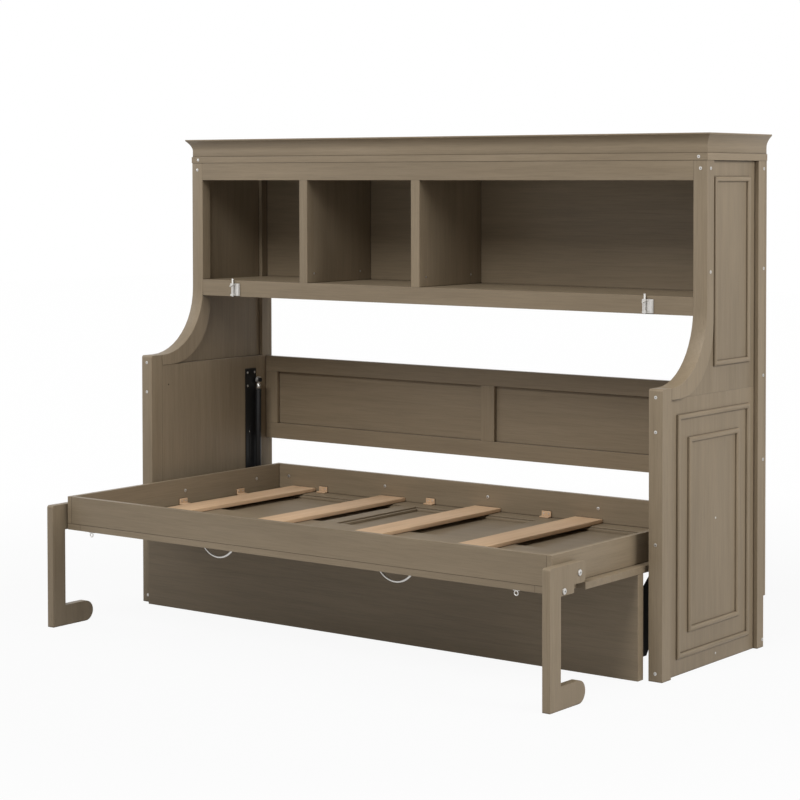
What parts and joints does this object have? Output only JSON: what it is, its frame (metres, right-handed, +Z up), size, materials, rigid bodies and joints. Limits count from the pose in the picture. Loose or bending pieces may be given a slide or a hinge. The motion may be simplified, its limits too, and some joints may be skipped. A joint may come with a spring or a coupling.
{
  "type": "wall bed",
  "caption": "Horizontal wall bed in a shelf cabinet, bed folded down, with J-shaped front legs, a desk board under the bed and gas struts.",
  "frame": {"origin": "middle of the footprint, on the floor", "axes": "+X to the right seen from the front, +Y towards the wall, +Z up"},
  "size_m": [2.196, 1.14, 1.645],
  "materials": {
    "painted_wood": "satin stain",
    "slat_wood": "raw",
    "bright_steel": "zinc plated",
    "black_steel": "powder coat"
  },
  "bodies": {
    "cabinet": {"front_post_left": "painted_wood", "front_post_right": "painted_wood", "curved_stile_left": "painted_wood", "curved_stile_right": "painted_wood", "back_post_left": "painted_wood", "back_post_right": "painted_wood", "back_strip_left": "painted_wood", "back_strip_right": "painted_wood", "lower_side_left": "painted_wood", "lower_side_right": "painted_wood", "upper_side_left": "painted_wood", "upper_side_right": "painted_wood", "side_mouldings_left": "painted_wood", "side_mouldings_right": "painted_wood", "top_rail": "painted_wood", "shelf_rail": "painted_wood", "shelf_board": "painted_wood", "top_board": "painted_wood", "upper_back_panel": "painted_wood", "left_divider": "painted_wood", "middle_divider": "painted_wood", "frieze": "painted_wood", "crown_front": "painted_wood", "crown_left": "painted_wood", "crown_right": "painted_wood", "backboard_rails": "painted_wood", "backboard_stiles": "painted_wood", "backboard_panels": "painted_wood", "pivot_plate_left": "black_steel", "pivot_plate_right": "black_steel", "strut_plate_left": "black_steel", "strut_plate_right": "black_steel", "latch_case_left": "bright_steel", "latch_case_right": "bright_steel", "cabinet_bolts": "bright_steel"},
    "bed": {"bed_front_rail": "painted_wood", "bed_back_rail": "painted_wood", "bed_end_rail_left": "painted_wood", "bed_end_rail_right": "painted_wood", "bed_floor": "painted_wood", "floor_panels": "painted_wood", "slats": "slat_wood", "rail_blocks": "slat_wood", "bed_hinge_left": "black_steel", "bed_hinge_right": "black_steel", "pull_handles": "bright_steel", "latch_strikes": "bright_steel", "desk_board": "painted_wood", "desk_braces": "black_steel", "leg_bolts": "bright_steel"},
    "leg_left_body": {"leg_left": "painted_wood", "lock_bolt_left": "bright_steel"},
    "strut_tube_left_body": {"strut_tube_left": "black_steel"},
    "strut_rod_left_body": {"strut_rod_left": "bright_steel"},
    "latch_bolt_left_body": {"latch_bolt_left": "bright_steel"},
    "leg_right_body": {"leg_right": "painted_wood", "lock_bolt_right": "bright_steel"},
    "strut_tube_right_body": {"strut_tube_right": "black_steel"},
    "strut_rod_right_body": {"strut_rod_right": "bright_steel"},
    "latch_bolt_right_body": {"latch_bolt_right": "bright_steel"}
  },
  "joints": [
    {"name": "bed_fold", "type": "hinge", "parent": "cabinet", "child": "bed", "pos_m": [0, 0.2175, 0.3445], "axis": [-1, 0, 0], "range_deg": [0, 90]},
    {"name": "leg_fold_left", "type": "hinge", "parent": "bed", "child": "leg_left_body", "pos_m": [-1.0075, -0.421, 0.379], "axis": [1, 0, 0], "range_deg": [0, 50.2]},
    {"name": "strut_swing_left", "type": "hinge", "parent": "cabinet", "child": "strut_tube_left_body", "pos_m": [-1.013, 0.474, 0.754], "axis": [-1, 0, 0], "range_deg": [0, 21.16]},
    {"name": "strut_stroke_left", "type": "slide", "parent": "strut_tube_left_body", "child": "strut_rod_left_body", "axis": [0, -0.0097, -1], "range_m": [0, 0.298]},
    {"name": "latch_slide_left", "type": "slide", "parent": "cabinet", "child": "latch_bolt_left_body", "axis": [0, 0, -1], "range_m": [0, 0.018]},
    {"name": "leg_fold_right", "type": "hinge", "parent": "bed", "child": "leg_right_body", "pos_m": [1.0075, -0.421, 0.379], "axis": [1, 0, 0], "range_deg": [0, 50.2]},
    {"name": "strut_swing_right", "type": "hinge", "parent": "cabinet", "child": "strut_tube_right_body", "pos_m": [1.013, 0.474, 0.754], "axis": [-1, 0, 0], "range_deg": [0, 21.16]},
    {"name": "strut_stroke_right", "type": "slide", "parent": "strut_tube_right_body", "child": "strut_rod_right_body", "axis": [0, -0.0097, -1], "range_m": [0, 0.298]},
    {"name": "latch_slide_right", "type": "slide", "parent": "cabinet", "child": "latch_bolt_right_body", "axis": [0, 0, -1], "range_m": [0, 0.018]}
  ],
  "couplings": [
    {"joint": "leg_fold_left", "follows": "bed_fold", "ratio": 0.55556},
    {"joint": "strut_swing_left", "follows": "bed_fold", "ratio": 0.23293},
    {"joint": "strut_stroke_left", "follows": "bed_fold", "m_per_rad": 0.18908},
    {"joint": "leg_fold_right", "follows": "bed_fold", "ratio": 0.55556},
    {"joint": "strut_swing_right", "follows": "bed_fold", "ratio": 0.23293},
    {"joint": "strut_stroke_right", "follows": "bed_fold", "m_per_rad": 0.18908}
  ]
}
